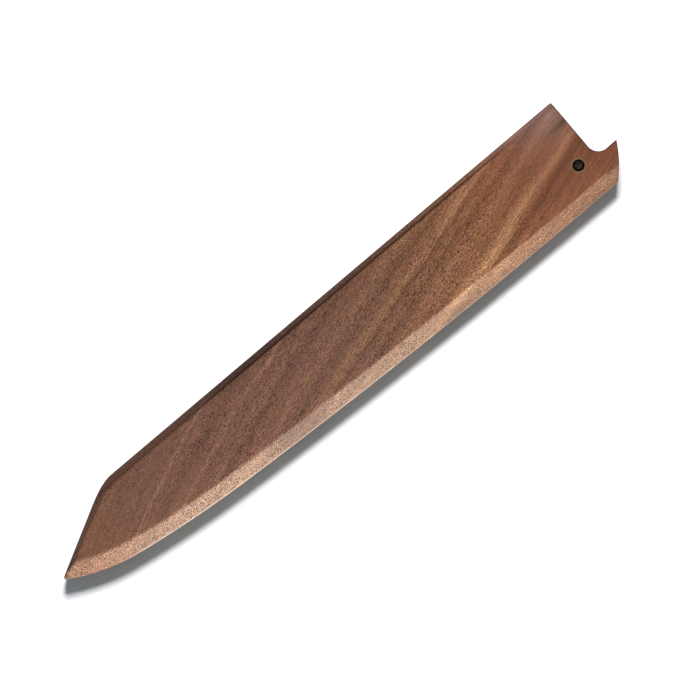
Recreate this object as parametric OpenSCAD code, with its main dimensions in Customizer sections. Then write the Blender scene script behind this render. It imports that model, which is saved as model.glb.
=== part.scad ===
// Wooden blade guard for an angled-tip slicing knife.
//
// Two hollowed walnut boards are glued together on the mid-plane and leave a
// flat pocket for the blade. A turned peg crosses the pocket near the mouth,
// behind the heel of the blade, and keeps the knife from sliding out.
//
// The guard lies on its back face. +X runs along the spine to the mouth, +Y
// points to the spine side, -Y to the edge side and +Z up to the front face.
// Plan points are worked out as [in, down]: "in" is the distance from the mouth
// line towards the point, "down" the distance from the spine line towards the
// cutting edge. The function plan() turns them into X and Y.

/* [Body] */
// Length from the mouth line to the point
body_length = 290; // [250:1:330]
// Distance between spine and edge at the mouth
mouth_width = 44.6; // [42:0.1:50]
// Thickness of each of the two glued boards
board_thickness = 7; // [6:0.1:9]

/* [Angled tip] */
// Angle between the spine and the sloping end
tip_angle = 28; // [24:0.5:34]
// Distance from the spine line down to the point
tip_drop = 21.5; // [19:0.1:24]
// Rounding radius where the spine turns into the sloping end
knee_radius = 5; // [1:0.5:12]
// Length of each side of the blunted point
point_blunt = 0.9; // [0.4:0.1:2]

/* [Edge line] */
// Straight length of the edge side, measured from the mouth line
edge_straight = 26; // [10:1:60]
// Radius of the long shallow belly
belly_radius = 2930; // [2400:10:3600]
// Length before the point where the edge starts to sweep up
fore_length = 85; // [70:1:100]
// Radius of the sweep
fore_radius = 500; // [400:10:700]
// Length before the point where the edge turns in sharply
point_length = 25; // [20:1:32]

/* [Bevels] */
// Width of the edge bevel, seen from above
bevel_width = 6.2; // [4:0.1:8]
// Depth of the edge bevel below the face
bevel_depth = 4.6; // [3:0.1:5.4]
// Width of the spine chamfer at the mouth
spine_chamfer_mouth = 2.1; // [1:0.1:3]
// Width of the spine chamfer at the knee
spine_chamfer_knee = 3.2; // [1:0.1:4]
// Width of the chamfer along the sloping end, at the point
end_chamfer_point = 1.5; // [0.8:0.1:2.4]
// Depth of the spine and end chamfers below the face
chamfer_depth = 2.6; // [1.5:0.1:4]

/* [Mouth] */
// Length of the horn beyond the mouth line
horn_length = 11.2; // [10.2:0.1:16]
// Distance from the spine line to the lowest point of the notch
notch_floor = 30.9; // [28:0.1:34]
// Radius of the notch
notch_radius = 6.9; // [5:0.1:7.2]
// Height of the horn's tip above the lowest point of the notch
horn_lift = 0.5; // [0.1:0.1:0.6]
// Bulge of the horn's sloping end beyond a straight line
horn_bulge = 0.6; // [0.1:0.1:1.5]
// Rounding of the corner between spine and mouth, in plan
mouth_corner = 0.8; // [0.2:0.1:2]

/* [Blade pocket] */
// Thickness of the slot for the blade, half of it in each board
slot_thickness = 4.4; // [3:0.1:5]
// Wall between the pocket and the spine
spine_wall = 3.6; // [3:0.1:5]
// Wall between the pocket and the edge
edge_wall = 4.6; // [3.5:0.1:6]
// Wall between the pocket and the sloping end
end_wall = 4.4; // [3.5:0.1:6]
// Length of each side of the rounding at the pocket's point
pocket_blunt = 3; // [1:0.5:5]

/* [Locking peg] */
// Diameter of the peg
peg_diameter = 4.5; // [3.5:0.1:5]
// Gap between the peg and its hole, on the radius
peg_clearance = 0.05; // [0.02:0.01:0.1]
// Distance of the peg's centre from the mouth line
peg_in = 8.3; // [7:0.1:14]
// Distance of the peg's centre from the spine line
peg_down = 28.1; // [26:0.1:32]
// Height of the domed head end
peg_dome = 0.7; // [0.3:0.1:1.2]
// Chamfer on the peg's tail end
peg_tail = 0.5; // [0.2:0.1:1]
// How far the head's top lies below the front face
peg_recess = 0.1; // [0:0.05:0.5]
// Widening of the hole's rim, on the radius
rim_width = 0.3; // [0.1:0.05:0.6]
// Depth of the widened rim
rim_depth = 0.7; // [0.3:0.1:1.2]
// Thickness of the shoulder that the peg stands on
shoulder_thickness = 1.2; // [0.8:0.1:2]
// Diameter of the hole in the back for pushing the peg out
push_hole_diameter = 3.2; // [2:0.1:3.4]

/* [Hidden] */

WALNUT = [0.47, 0.33, 0.26];
EBONY = [0.13, 0.11, 0.10];

edge_steps = 60;
knee_steps = 8;
point_steps = 6;
notch_steps = 28;
horn_steps = 12;
round_fn = 96;

// Outward run of blanks and pockets past the horn, cut off again at the mouth
overrun = horn_length + 4;
total_thickness = 2 * board_thickness;
mouth_x = (body_length - horn_length) / 2;
spine_y = mouth_width / 2;
knee_in = body_length - tip_drop / tan(tip_angle);
// Direction of the sloping end from the knee to the point, and its inward normal
slope = [cos(tip_angle), sin(tip_angle)];
slope_normal = [-sin(tip_angle), cos(tip_angle)];

// Plan point [in, down] as X and Y
function plan(p) = [mouth_x - p[0], spine_y - p[1]];

function unit(v) = v / norm(v);

// The edge line falls away from full width by three parabolas, one for the
// belly, one more from the sweep on and a last one in the point. The last is as
// strong as it must be to end exactly at the point.
fore_in = body_length - fore_length;
point_in = body_length - point_length;
function curve_drop(d, from, radius) = d <= from ? 0 : pow(d - from, 2) / (2 * radius);
sweep_radius = 1 / (1 / fore_radius - 1 / belly_radius);
function belly_and_sweep(d) =
    curve_drop(d, edge_straight, belly_radius) + curve_drop(d, fore_in, sweep_radius);
point_drop = mouth_width - tip_drop - belly_and_sweep(body_length);
function edge_down(d) =
    mouth_width
    - belly_and_sweep(d)
    - (d <= point_in ? 0 : point_drop * pow((d - point_in) / point_length, 2));

// Slope of the edge line, as loss of width per millimetre
function edge_slope(d) = (edge_down(d - 0.01) - edge_down(d + 0.01)) / 0.02;

// Point on the edge line moved inwards, square to the line
function edge_point(d, inset) =
    [d, edge_down(d)] + inset * unit([-edge_slope(d), -1]);

// Crossing of the line through p along u with the line through q along v
function crossing(p, u, q, v) =
    p + u * ((q[0] - p[0]) * v[1] - (q[1] - p[1]) * v[0]) / (u[0] * v[1] - u[1] * v[0]);

// How far a plan point lies inside the line through q along v
function inside(p, q, v) = (p[1] - q[1]) * v[0] - (p[0] - q[0]) * v[1];

// The distance along the edge at which its inset line meets the end's line
function meeting(q, v, inset, low, high, steps) =
    steps == 0
    ? (low + high) / 2
    : inside(edge_point((low + high) / 2, inset), q, v) > 0
        ? meeting(q, v, inset, (low + high) / 2, high, steps - 1)
        : meeting(q, v, inset, low, (low + high) / 2, steps - 1);

// Points of a smooth corner from a to b with its control point at c
function bend(a, c, b, steps) = [
    for (i = [0:steps])
        let (t = i / steps)
            a * pow(1 - t, 2) + c * 2 * t * (1 - t) + b * pow(t, 2)
];

// Closed plan outline in [in, down], with the spine inset at the mouth and at
// the knee, the sloping end inset at the knee and at the point, and the edge
// inset. Every outline has the same number of points, in the same order.
function outline(spine_mouth, spine_knee, end_knee, end_point, edge, blunt) =
    let (
        spine_start = [0, spine_mouth],
        spine_line = [knee_in, spine_knee] - spine_start,
        end_start = [knee_in, 0] + end_knee * slope_normal,
        end_line = [body_length, tip_drop] + end_point * slope_normal - end_start,
        knee = crossing(spine_start, spine_line, end_start, end_line),
        reach = meeting(end_start, end_line, edge, fore_in, body_length + 1, 36),
        point = edge_point(reach, edge),
        bend_length = knee_radius * tan(tip_angle / 2),
        last = reach - blunt
    )
    concat(
        [spine_start - unit(spine_line) * overrun],
        bend(knee - unit(spine_line) * bend_length, knee,
             knee + unit(end_line) * bend_length, knee_steps),
        bend(point - unit(end_line) * blunt, point,
             edge_point(last, edge), point_steps),
        [for (i = [1:edge_steps])
            let (u = i / edge_steps)
                edge_point(last - (last - edge_straight) * pow(u, 1.5), edge)],
        [edge_point(-overrun, edge)]
    );

// Solid between outlines that are stacked at rising heights
module stack(levels) {
    count = len(levels[0][1]);
    last = len(levels) - 1;
    points = [
        for (level = levels)
            for (p = level[1])
                [plan(p)[0], plan(p)[1], level[0]]
    ];
    walls = [
        for (k = [0:last - 1])
            for (i = [0:count - 1])
                let (
                    a = k * count + i,
                    b = k * count + (i + 1) % count,
                    c = a + count,
                    d = b + count
                )
                    each [[a, c, b], [b, c, d]]
    ];
    floor_face = [for (i = [0:count - 1]) i];
    roof_face = [for (i = [count - 1:-1:0]) last * count + i];
    polyhedron(points, concat([floor_face], walls, [roof_face]));
}

// One level of a board's outside, at a height above the glued face
function level(height) =
    let (
        depth = board_thickness - height,
        bevel = bevel_width * max(0, 1 - depth / bevel_depth),
        chamfer = max(0, 1 - depth / chamfer_depth)
    )
    [height, outline(spine_chamfer_mouth * chamfer, spine_chamfer_knee * chamfer,
                     spine_chamfer_knee * chamfer, end_chamfer_point * chamfer,
                     bevel, point_blunt)];

// Board with its outer bevels, glued face down at z = 0, longer than the guard
module blank_board() {
    stack([
        level(0),
        level(board_thickness - bevel_depth),
        level(board_thickness - chamfer_depth),
        level(board_thickness)
    ]);
}

// Everything that stays behind the cut of the mouth: straight part, notch, horn
module mouth_cut() {
    notch_centre = [notch_radius, notch_floor - notch_radius];
    horn_tip = [horn_length, notch_floor - horn_lift];
    edge_corner = [0, mouth_width];
    to_tip = horn_tip - notch_centre;
    flank_angle = atan2(to_tip[1], to_tip[0]) + acos(notch_radius / norm(to_tip));
    chord = edge_corner - horn_tip;
    bulge_side = unit([chord[1], -chord[0]]);
    // Here the first number counts outwards from the mouth line
    keep = concat(
        [[-2 * body_length, -mouth_width], [-mouth_corner, -mouth_width]],
        bend([-mouth_corner, 0], [0, 0], [0, mouth_corner], 5),
        [for (i = [0:notch_steps])
            let (a = 180 + (flank_angle - 180) * i / notch_steps)
                notch_centre + notch_radius * [cos(a), sin(a)]],
        [for (i = [0:horn_steps])
            let (t = i / horn_steps)
                horn_tip + chord * t + bulge_side * 4 * horn_bulge * t * (1 - t)],
        [edge_corner + chord, [-2 * body_length, edge_corner[1] + chord[1]]]
    );
    translate([0, 0, -1])
        linear_extrude(board_thickness + 2)
            polygon([for (p = keep) plan([-p[0], p[1]])]);
}

// Half of the blade pocket, sunk into the glued face
module half_pocket() {
    translate([0, 0, -1])
        linear_extrude(slot_thickness / 2 + 1)
            polygon([
                for (p = outline(spine_wall, spine_wall, end_wall, end_wall,
                                 edge_wall, pocket_blunt))
                    plan(p)
            ]);
}

// A board with its outline, its bevels and its half of the pocket
module hollow_board() {
    difference() {
        intersection() {
            blank_board();
            mouth_cut();
        }
        half_pocket();
    }
}

// Children are placed on the peg's axis, with z = 0 on the back face
module at_peg() {
    place = plan([peg_in, peg_down]);
    translate([place[0], place[1], 0])
        children();
}

module front_half() {
    color(WALNUT)
        difference() {
            translate([0, 0, board_thickness])
                hollow_board();
            at_peg() {
                translate([0, 0, board_thickness - 1])
                    cylinder(h = board_thickness + 2, d = peg_diameter + 2 * peg_clearance,
                             $fn = round_fn);
                translate([0, 0, total_thickness - rim_depth])
                    cylinder(h = 2 * rim_depth,
                             r1 = peg_diameter / 2 + peg_clearance,
                             r2 = peg_diameter / 2 + peg_clearance + 2 * rim_width,
                             $fn = round_fn);
            }
        }
}

module back_half() {
    color(WALNUT)
        difference() {
            translate([0, 0, board_thickness])
                mirror([0, 0, 1])
                    hollow_board();
            at_peg() {
                translate([0, 0, shoulder_thickness])
                    cylinder(h = board_thickness, d = peg_diameter + 2 * peg_clearance,
                             $fn = round_fn);
                translate([0, 0, -1])
                    cylinder(h = board_thickness, d = push_hole_diameter, $fn = round_fn);
            }
        }
}

// The peg stands on the shoulder in the back board. Its profile is turned.
module locking_peg() {
    radius = peg_diameter / 2;
    top = total_thickness - peg_recess;
    sphere_radius = (pow(radius, 2) + pow(peg_dome, 2)) / (2 * peg_dome);
    cap_angle = asin(radius / sphere_radius);
    color(EBONY)
        at_peg()
            rotate_extrude($fn = round_fn)
                polygon(concat(
                    [[0, shoulder_thickness],
                     [radius - peg_tail, shoulder_thickness],
                     [radius, shoulder_thickness + peg_tail]],
                    [for (i = [0:12])
                        let (a = cap_angle * (1 - i / 12))
                            [sphere_radius * sin(a),
                             top - sphere_radius * (1 - cos(a))]]
                ));
}

front_half();
back_half();
locking_peg();
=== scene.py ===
"""Wooden blade guard for an angled-tip slicing knife, dressed for rendering.

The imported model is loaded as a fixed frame. The two glued boards and the peg
are rebuilt as smooth surfaces in the same places, with softened edges, and get
their walnut and ebony finishes. Lengths are millimetres in this file and
become metres when a mesh is made. Plan points are written [in, down]: "in" is
the distance from the mouth line towards the point, "down" the distance from
the spine line towards the cutting edge.
"""

from __future__ import annotations

import logging
import math
from dataclasses import dataclass, field, replace
from enum import Enum
from typing import Any, Callable, Sequence, Union

import bmesh
import bpy
import numpy as np
from mathutils import Matrix, Vector

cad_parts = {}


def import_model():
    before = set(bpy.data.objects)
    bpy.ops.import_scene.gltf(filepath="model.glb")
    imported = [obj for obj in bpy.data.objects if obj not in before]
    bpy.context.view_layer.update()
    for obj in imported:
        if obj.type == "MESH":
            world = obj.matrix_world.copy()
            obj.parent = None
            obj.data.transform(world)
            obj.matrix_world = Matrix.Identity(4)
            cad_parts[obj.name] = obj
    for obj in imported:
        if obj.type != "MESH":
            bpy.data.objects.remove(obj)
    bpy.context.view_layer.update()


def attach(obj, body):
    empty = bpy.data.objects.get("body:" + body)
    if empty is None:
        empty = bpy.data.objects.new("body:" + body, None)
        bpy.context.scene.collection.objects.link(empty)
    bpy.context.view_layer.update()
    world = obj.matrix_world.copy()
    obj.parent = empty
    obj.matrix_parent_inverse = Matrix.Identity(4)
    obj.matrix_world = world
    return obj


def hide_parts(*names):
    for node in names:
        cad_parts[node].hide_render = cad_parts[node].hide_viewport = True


LOG = logging.getLogger("blade_guard")
MM = 0.001
# A tone of 1 makes a colour this many times lighter
TONE_BASE = 2.72
# Brings a noise node's values, which lie close round 0.5, to about -1 to 1
NOISE_GAIN = 3.2

Tint = tuple[float, float, float]
Colour = tuple[float, float, float, float]


# Shader maths


class Sock:
    """A shader socket that adds Math nodes when it is used in an expression."""

    def __init__(self, graph: Graph, socket: bpy.types.NodeSocket) -> None:
        """Wraps one output socket of a graph."""
        self.graph = graph
        self.socket = socket

    def _math(self, operation: str, *values: Value) -> Sock:
        """Adds one Math node over this graph's sockets and numbers."""
        return self.graph.node("ShaderNodeMath", {"operation": operation}, dict(enumerate(values)))

    def __add__(self, other: Value) -> Sock:
        """self + other."""
        return self._math("ADD", self, other)

    def __radd__(self, other: Value) -> Sock:
        """other + self."""
        return self._math("ADD", other, self)

    def __sub__(self, other: Value) -> Sock:
        """self - other."""
        return self._math("SUBTRACT", self, other)

    def __rsub__(self, other: Value) -> Sock:
        """other - self."""
        return self._math("SUBTRACT", other, self)

    def __mul__(self, other: Value) -> Sock:
        """self * other."""
        return self._math("MULTIPLY", self, other)

    def __rmul__(self, other: Value) -> Sock:
        """other * self."""
        return self._math("MULTIPLY", other, self)

    def __truediv__(self, other: Value) -> Sock:
        """self / other."""
        return self._math("DIVIDE", self, other)

    def __rpow__(self, other: Value) -> Sock:
        """other ** self."""
        return self._math("POWER", other, self)

    def absolute(self) -> Sock:
        """Distance from zero."""
        return self._math("ABSOLUTE", self)

    def root(self) -> Sock:
        """Square root."""
        return self._math("SQRT", self)

    def at_least(self, low: float) -> Sock:
        """The larger one of this and low."""
        return self._math("MAXIMUM", self, low)

    def step(self, low: float, high: float) -> Sock:
        """Smooth step upwards.

        Args:
            low: the value up to which it is 0.
            high: the value from which on it is 1.

        Returns:
            The step, an S curve between low and high.
        """
        return self.graph.node(
            "ShaderNodeMapRange",
            {"interpolation_type": "SMOOTHSTEP"},
            {"Value": self, "From Min": low, "From Max": high, "To Min": 0.0, "To Max": 1.0},
        )

    def below(self, low: float, high: float) -> Sock:
        """Smooth step downwards: 1 up to low, 0 from high on."""
        return 1.0 - self.step(low, high)

    def between(self, low: float, start: float, stop: float, high: float) -> Sock:
        """Smooth window: 1 from start to stop, 0 up to low and from high on."""
        return self.step(low, start) * self.below(stop, high)


Value = Union[Sock, float, int, Sequence[float]]


class Graph:
    """The node tree of one material or world."""

    def __init__(self, tree: bpy.types.NodeTree) -> None:
        """Empties the tree and starts afresh."""
        self.tree = tree
        tree.nodes.clear()

    def node(
        self,
        kind: str,
        settings: dict[str, Any] | None = None,
        values: dict[Union[str, int], Value] | None = None,
        out: Union[str, int] = 0,
    ) -> Sock:
        """Adds a node, sets it up and feeds its inputs.

        Args:
            kind: the node's type name.
            settings: attributes that are set first. "stops" fills a ramp with
                (position, colour) pairs, and "ramp_interpolation" says how it
                goes from one to the next.
            values: input name or number to a socket, a number or a colour.
            out: name or number of the output that is returned.

        Returns:
            The chosen output as a Sock, or None where a node has no output.
        """
        made = self.tree.nodes.new(kind)
        for name, setting in (settings or {}).items():
            if name == "stops":
                self._fill_ramp(made.color_ramp, setting)
            elif name == "ramp_interpolation":
                made.color_ramp.interpolation = setting
            else:
                setattr(made, name, setting)
        for name, value in (values or {}).items():
            if isinstance(value, Sock):
                self.tree.links.new(value.socket, made.inputs[name])
            else:
                made.inputs[name].default_value = value
        return Sock(self, made.outputs[out]) if made.outputs else None

    @staticmethod
    def _fill_ramp(ramp: bpy.types.ColorRamp, stops: Sequence[tuple[float, Sequence[float]]]) -> None:
        """Gives a ramp its stops.

        Args:
            ramp: the ramp of a new node, with its first two stops.
            stops: pairs of a position and a colour, in order of position.
        """
        while len(ramp.elements) < len(stops):
            ramp.elements.new(1.0)
        for element, (position, colour) in zip(ramp.elements, stops):
            element.position = position
            element.color = colour

    def place(self) -> tuple[Sock, Sock, Sock]:
        """Works out the shaded point's place on Object coordinates.

        Returns:
            X, Y and Z in millimetres.
        """
        place = self.scaled(self.node("ShaderNodeTexCoord", out="Object"), 1.0 / MM)
        x, y, z = (self.node("ShaderNodeSeparateXYZ", {}, {0: place}, out=axis) for axis in range(3))
        return x, y, z

    def mark(self, name: str) -> Sock:
        """A number that the mesh carries at each of its points."""
        return self.node("ShaderNodeAttribute", {"attribute_name": name}, out="Fac")

    def mix(self, share: Value, first: Value, second: Value) -> Sock:
        """Mixes two colours.

        Args:
            share: the second colour's share, 0 to 1.
            first: the colour at share 0.
            second: the colour at share 1.

        Returns:
            The mixed colour.
        """
        return self.node(
            "ShaderNodeMix",
            {"data_type": "RGBA", "blend_type": "MIX", "clamp_factor": True},
            {0: share, 6: first, 7: second},
            out=2,
        )

    def scaled(self, vector: Sock, factor: Value) -> Sock:
        """A vector or colour times one number."""
        return self.node("ShaderNodeVectorMath", {"operation": "SCALE"}, {0: vector, "Scale": factor})

    def toned(self, colour: Sock, tone: Sock) -> Sock:
        """A colour times TONE_BASE ** tone: lighter above 0, darker below 0."""
        return self.scaled(colour, TONE_BASE**tone)

    def vector(self, x: Value, y: Value, z: Value) -> Sock:
        """Three numbers as a vector."""
        return self.node("ShaderNodeCombineXYZ", {}, {0: x, 1: y, 2: z})

    def noise(self, place: Sock, detail: float, rough: float) -> Sock:
        """Noise at one cell per unit of place.

        Args:
            place: the point at which it is taken.
            detail: number of finer layers on top of the first.
            rough: strength of each finer layer against the one before.

        Returns:
            Noise around 0, about -1 to 1.
        """
        raw = self.node(
            "ShaderNodeTexNoise",
            {"noise_dimensions": "3D"},
            {"Vector": place, "Scale": 1.0, "Detail": detail, "Roughness": rough},
        )
        return (raw - 0.5) * NOISE_GAIN

    def bump(self, height: Sock, strength: float, distance: float) -> Sock:
        """Tilts the surface's normal.

        Args:
            height: the relief, as a number around 0.
            strength: the share of the tilt that is used, 0 to 1.
            distance: how high a relief of 1 is, in millimetres.

        Returns:
            The normal.
        """
        return self.node(
            "ShaderNodeBump", {}, {"Strength": strength, "Distance": distance * MM, "Height": height}
        )

    def surface(self, sockets: dict[str, Value]) -> None:
        """Closes a material with one Principled shader that has these sockets."""
        shader = self.node("ShaderNodeBsdfPrincipled", {}, sockets)
        self.node("ShaderNodeOutputMaterial", {}, {"Surface": shader})


def srgb(red: float, green: float, blue: float) -> Colour:
    """Turns a colour as it is displayed into linear light.

    Args:
        red: the red part, 0 to 255.
        green: the green part, 0 to 255.
        blue: the blue part, 0 to 255.

    Returns:
        The linear colour with alpha 1.
    """
    def linear(part: float) -> float:
        """One display value as linear light, by the standard curve."""
        part /= 255.0
        return part / 12.92 if part <= 0.04045 else ((part + 0.055) / 1.055) ** 2.4

    return (linear(red), linear(green), linear(blue), 1.0)


def new_material(name: str) -> tuple[bpy.types.Material, Graph]:
    """Makes an empty node material.

    Args:
        name: the material's name.

    Returns:
        The material and its graph.
    """
    material = bpy.data.materials.new(name)
    material.use_nodes = True
    return material, Graph(material.node_tree)


# Finishes


@dataclass(frozen=True)
class GrowthRing:
    """One growth ring: it darkens towards its end, and the next starts light.

    Heights are millimetres across the grain, tones are steps of darkness
    (below 0) or lightness (above 0) on the wood's mean colour. The ring has
    the tone "base" at "reach" below its end, "dark" at its end, "light" at
    "rise" above it, and the mean tone again at "fade" above it.
    """

    end: float
    reach: float
    base: float
    dark: float
    rise: float
    light: float
    fade: float

    def stops(self) -> list[tuple[float, float]]:
        """Lists the four places that make up the ring.

        Returns:
            Their heights and tones.
        """
        return [
            (self.end - self.reach, self.base),
            (self.end, self.dark),
            (self.end + self.rise, self.light),
            (self.end + self.fade, 0.0),
        ]


@dataclass(frozen=True)
class Spot:
    """The shaded point of a board, as sockets in millimetres.

    x, y and z are its place and off_seam its distance from the glued seam.
    along runs with the grain. level counts across the growth rings as if they
    were even, and growth counts across them as they sway.
    """

    graph: Graph
    x: Sock
    y: Sock
    z: Sock
    off_seam: Sock
    along: Sock
    level: Sock
    growth: Sock

    def noise(
        self, cell: tuple[float, float, float], detail: float, rough: float, even: bool = False
    ) -> Sock:
        """Noise in cells that lie along the grain.

        Args:
            cell: a cell's length along the grain, width across the rings and
                depth through the board, in millimetres.
            detail: number of finer layers on top of the first.
            rough: strength of each finer layer against the one before.
            even: whether the cells ignore the sway of the rings.

        Returns:
            Noise around 0, about -1 to 1.
        """
        length, width, depth = cell
        across = self.level if even else self.growth
        place = self.graph.vector(self.along / length, across / width, self.z / depth)
        return self.graph.noise(place, detail, rough)

    def near_face(self) -> Sock:
        """Share of the outer part of a board, where the chamfers are."""
        return self.off_seam.step(4.2, 4.8)


@dataclass(frozen=True)
class Figure:
    """The walnut's fine figure at the shaded point, as sockets.

    streaks, mottle, dashes and grit are noises around 0 and pores is 0 to 1.
    sanded and planed are the speckle, as tones, of the sanded face and of the
    planed edge bevel.
    """

    streaks: Sock
    mottle: Sock
    dashes: Sock
    grit: Sock
    pores: Sock
    sanded: Sock
    planed: Sock


@dataclass(frozen=True)
class SpineMarks:
    """Shares of what marks the spine, as sockets from 0 to 1.

    line is the thin line of painted shade along the chamfer's inner border, shade the wider painted shade
    round it, chamfer the chamfer itself and inner its inner part towards the point.
    """

    line: Sock
    shade: Sock
    chamfer: Sock
    inner: Sock


def from_peg(plan: GuardPlan, x: Sock, y: Sock) -> Sock:
    """Distance from the peg's axis, sqrt(dx^2 + dy^2).

    Args:
        plan: the guard's plan.
        x: place along the guard in millimetres.
        y: place across the guard in millimetres.

    Returns:
        The distance in millimetres.
    """
    centre_x, centre_y = plan.peg_centre.tolist()
    off_x, off_y = x - centre_x, y - centre_y
    return (off_x * off_x + off_y * off_y).root()


@dataclass(frozen=True)
class WalnutFinish:
    """Oiled walnut with slanting growth rings, open pores and a satin surface.

    The rings are lines of equal level. On the front face the level is
    y - (lean x + bend x^2 + twist x^3), which makes the rings cross the board at
    about 29 degrees in the point and 15 to 18 degrees towards the mouth, and they
    dip through the thickness by "dip" per millimetre. The cells of the noises lie
    along x + drift y. Colours are display values, 0 to 255.

    The methods say where a tint or a tone begins and ends in millimetres: x runs
    from -150 in the point to 139 at the mouth line and 150 at the horn's tip, and
    y from -22 on the edge's side to 22 at the spine. Tones are powers of
    TONE_BASE, so -0.1 is about a tenth darker.
    """

    plan: GuardPlan
    name: str = "walnut"
    lean: float = 0.2934
    bend: float = -0.000394
    twist: float = 0.00000257
    dip: float = 0.55
    drift: float = 0.3
    # The wood's own tints: the first two by place, the others laid over them
    cool: Tint = (130, 91, 75)
    warm: Tint = (139, 92, 62)
    rust: Tint = (145, 89, 65)
    tan: Tint = (132, 96, 68)
    red: Tint = (133, 86, 73)
    olive: Tint = (124, 94, 61)
    haze: Tint = (149, 116, 105)
    smoky: Tint = (96, 77, 68)
    # The edge bevel: freshly cut wood made paler by painted sheen and darker towards its ends partly by
    # painted shade, stained, and a painted highlight at its foot
    cut: Tint = (168, 144, 120)
    cut_mouth: Tint = (134, 105, 80)
    cut_point: Tint = (144, 116, 91)
    stain: Tint = (122, 96, 85)
    highlight_pale: Tint = (213, 190, 170)
    # The glue's dark line, whose colour also paints a line of shade along the spine's chamfer, and the
    # chamfers' tints, the grey and pale ones painted sheen
    line: Tint = (86, 36, 14)
    ruddy: Tint = (134, 80, 63)
    chamfer_sheen_grey: Tint = (110, 83, 67)
    chamfer_sheen_pale: Tint = (176, 128, 118)
    # The peg's hole: a pale ring round it, and painted shade on its wall and rim
    pale_ring: Tint = (156, 132, 118)
    bore_shade_colour: Tint = (32, 17, 9)
    rings: tuple[GrowthRing, ...] = (
        GrowthRing(-37.5, 2.4, 0.0, -0.36, 4.4, 0.46, 9.8),
        GrowthRing(-15.8, 4.2, 0.16, -0.18, 2.8, 0.07, 3.8),
        GrowthRing(-10.2, 1.5, 0.0, -0.19, 2.0, 0.32, 6.5),
        GrowthRing(-1.8, 1.6, 0.0, -0.16, 5.2, 0.15, 8.5),
        GrowthRing(13.5, 4.5, 0.0, -0.24, 2.2, 0.05, 5.0),
        GrowthRing(22.0, 2.0, 0.0, -0.08, 1.8, 0.28, 3.6),
        GrowthRing(31.0, 4.0, 0.0, -0.20, 3.4, 0.02, 5.2),
        GrowthRing(37.2, 0.6, 0.0, 0.02, 0.8, 0.42, 1.8),
    )

    def make(self) -> bpy.types.Material:
        """Builds the walnut material on Object coordinates.

        Returns:
            A material that also reads the marks "worn" (the painted
            highlight along the bevel's foot), "planed" (the edge bevel) and
            "end_grain" (darker end grain, and painted shade on the mouth's
            softened border).
        """
        material, g = new_material(self.name)
        spot = self._spot(g)
        figure = self._figure(spot)
        spine = self._spine_marks(spot)
        worn = g.mark("worn")
        colour = self._with_bevel(spot, figure, self._face(spot, figure), worn)
        colour = self._with_hole(spot, self._with_chamfers(spot, spine, colour))
        glue = spot.off_seam.below(0.07, 0.22)
        colour = g.mix(glue * 0.55, colour, srgb(*self.line))
        # Darker end grain, and painted shade on the softened border of the mouth, notch and horn
        dots = g.noise(g.vector(spot.y / 0.4, spot.z / 0.4, spot.x / 3.0), 2.0, 0.6)
        ends = 1.0 - g.mark("end_grain") * (dots * 0.16 + 0.48)
        g.surface({
            "Base Color": g.scaled(colour, (1.0 - spine.shade * 0.4) * ends),
            "Roughness": 0.56 + figure.pores * 0.2 + figure.grit * 0.03 - worn * 0.05,
            "Normal": g.bump(figure.dashes * 0.4 - figure.pores * 1.0 + figure.grit * 0.6, 0.5, 0.05),
            "Specular IOR Level": 0.12,
        })
        return material

    def _spot(self, g: Graph) -> Spot:
        """Places the shaded point in the guard and in the wood's figure.

        Args:
            g: the material's graph.

        Returns:
            The shaded point.
        """
        x, y, z = g.place()
        slant = x * (x * (x * self.twist + self.bend) + self.lean)
        level = y - slant + (z - 2 * self.plan.board_thickness) * self.dip
        off_seam = (z - self.plan.board_thickness).absolute()
        spot = Spot(g, x, y, z, off_seam, along=x + y * self.drift, level=level, growth=level)
        sway = spot.noise((34.0, 12.0, 14.0), 2.0, 0.45)
        ripple = spot.noise((9.0, 2.6, 4.0), 2.0, 0.5)
        return replace(spot, growth=level + sway * 1.3 + ripple * 0.3)

    def _figure(self, spot: Spot) -> Figure:
        """Works out the fine figure, whose speckle is calmer in some stretches.

        Args:
            spot: the shaded point.

        Returns:
            The figure's noises, pores and speckle.
        """
        x = spot.x
        dashes = spot.noise((2.8, 0.6, 0.6), 2.0, 0.6)
        grit = spot.noise((0.95, 0.66, 0.66), 1.0, 0.6)
        grains = spot.noise((0.46, 0.36, 0.36), 1.0, 0.6)
        coarse = spot.noise((30.0, 12.0, 12.0), 1.0, 0.5, even=True).step(-0.6, 0.7) * 0.5 + 0.7
        on_face = (grit * 0.55 + grains * 1.35 + dashes * 0.5) * coarse
        on_bevel = (grit * 0.3 + grains * 1.6 + dashes * 0.3) * coarse
        point_calm = x.step(-108.0, -60.0) * 0.34 + 0.66
        mouth_calm = 1.0 - x.step(92.0, 128.0) * 0.72
        lively = x.between(0.0, 45.0, 70.0, 92.0) * 0.2 + 0.9
        smooth = x.between(-15.0, 5.0, 45.0, 62.0) + x.step(92.0, 112.0)
        return Figure(
            streaks=spot.noise((60.0, 1.5, 2.2), 3.0, 0.62),
            mottle=spot.noise((9.0, 4.5, 5.0), 3.0, 0.5),
            dashes=dashes,
            grit=grit,
            pores=self._pores(spot),
            sanded=(on_face * 1.2 - on_face * on_face * 0.6) * (point_calm * mouth_calm * lively),
            planed=(on_bevel * 1.2 - on_bevel * on_bevel * 0.5) * (1.0 - smooth * 0.18),
        )

    @staticmethod
    def _pores(spot: Spot) -> Sock:
        """Open pores: short dark dashes along the grain, crowded in places.

        Args:
            spot: the shaded point.

        Returns:
            The pores' share, 0 to 1.
        """
        cells = spot.noise((3.0, 0.5, 0.5), 1.0, 0.5)
        crowding = spot.noise((40.0, 3.0, 4.0), 1.0, 0.5)
        return (cells + crowding * 0.4).step(0.62, 1.15)

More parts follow.
